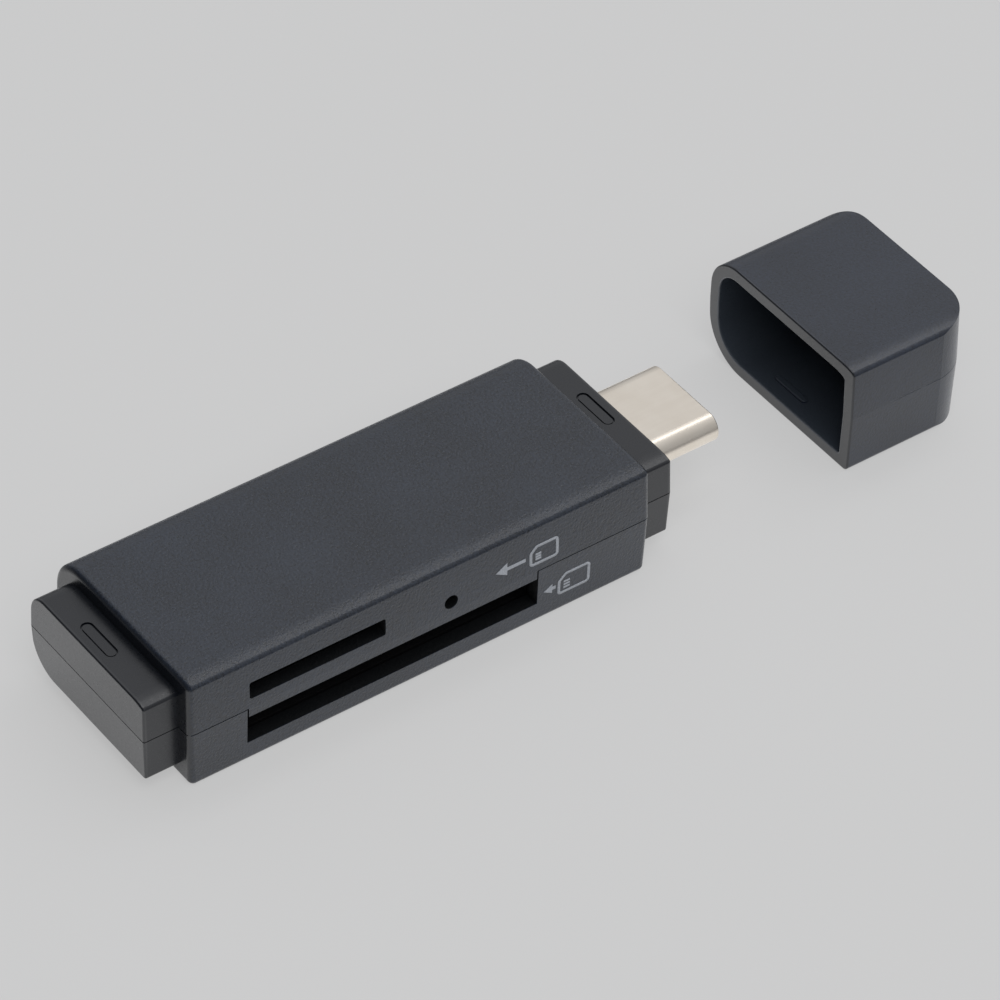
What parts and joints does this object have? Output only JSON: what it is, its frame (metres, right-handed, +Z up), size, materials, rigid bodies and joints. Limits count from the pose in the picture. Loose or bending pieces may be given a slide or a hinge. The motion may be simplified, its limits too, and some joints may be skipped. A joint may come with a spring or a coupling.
{
  "type": "memory card reader",
  "caption": "Pocket memory card reader: a dark moulded body with a large and a small card slot on one side, a flat reversible plug and a pull-off cap.",
  "frame": {"origin": "centre of the flat underside of the body", "axes": "+X along the body towards the plug, -Y out of the card slots, +Z up"},
  "size_m": [0.0722, 0.017, 0.0096],
  "materials": {
    "cover_plastic": "fine spark-eroded texture, dark grey",
    "cap_plastic": "fine spark-eroded texture, dark grey",
    "board_laminate": "solder mask over glass laminate",
    "plug_metal": "satin nickel plate",
    "black_moulding": "moulded",
    "connector_moulding": "moulded",
    "gold_contact": "gold flash",
    "spring_steel": "stamped",
    "shield_metal": "stamped",
    "chip_moulding": "moulded",
    "tinned_lead": "tin plate",
    "lamp_resin": "clear resin",
    "ceramic_tan": "fired ceramic",
    "ceramic_black": "fired ceramic"
  },
  "bodies": {
    "reader": {"top_cover": "cover_plastic", "bottom_cover": "cover_plastic", "circuit_board": "board_laminate", "plug_shell": "plug_metal", "plug_insulator": "black_moulding", "plug_contacts_upper": "gold_contact", "plug_contacts_lower": "gold_contact", "plug_latch": "spring_steel", "large_card_frame": "connector_moulding", "large_card_contacts": "gold_contact", "card_switch_springs": "spring_steel", "small_card_base": "connector_moulding", "small_card_shield": "shield_metal", "small_card_contacts": "gold_contact", "controller_chip": "chip_moulding", "crystal": "shield_metal", "voltage_regulator": "chip_moulding", "regulator_leads": "tinned_lead", "activity_light": "lamp_resin", "capacitors": "ceramic_tan", "resistors": "ceramic_black"},
    "cap": {"cap": "cap_plastic"}
  },
  "joints": [
    {"name": "cap_slide", "type": "slide", "parent": "reader", "child": "cap", "axis": [1, 0, 0], "range_m": [-0.0182, 0]}
  ]
}
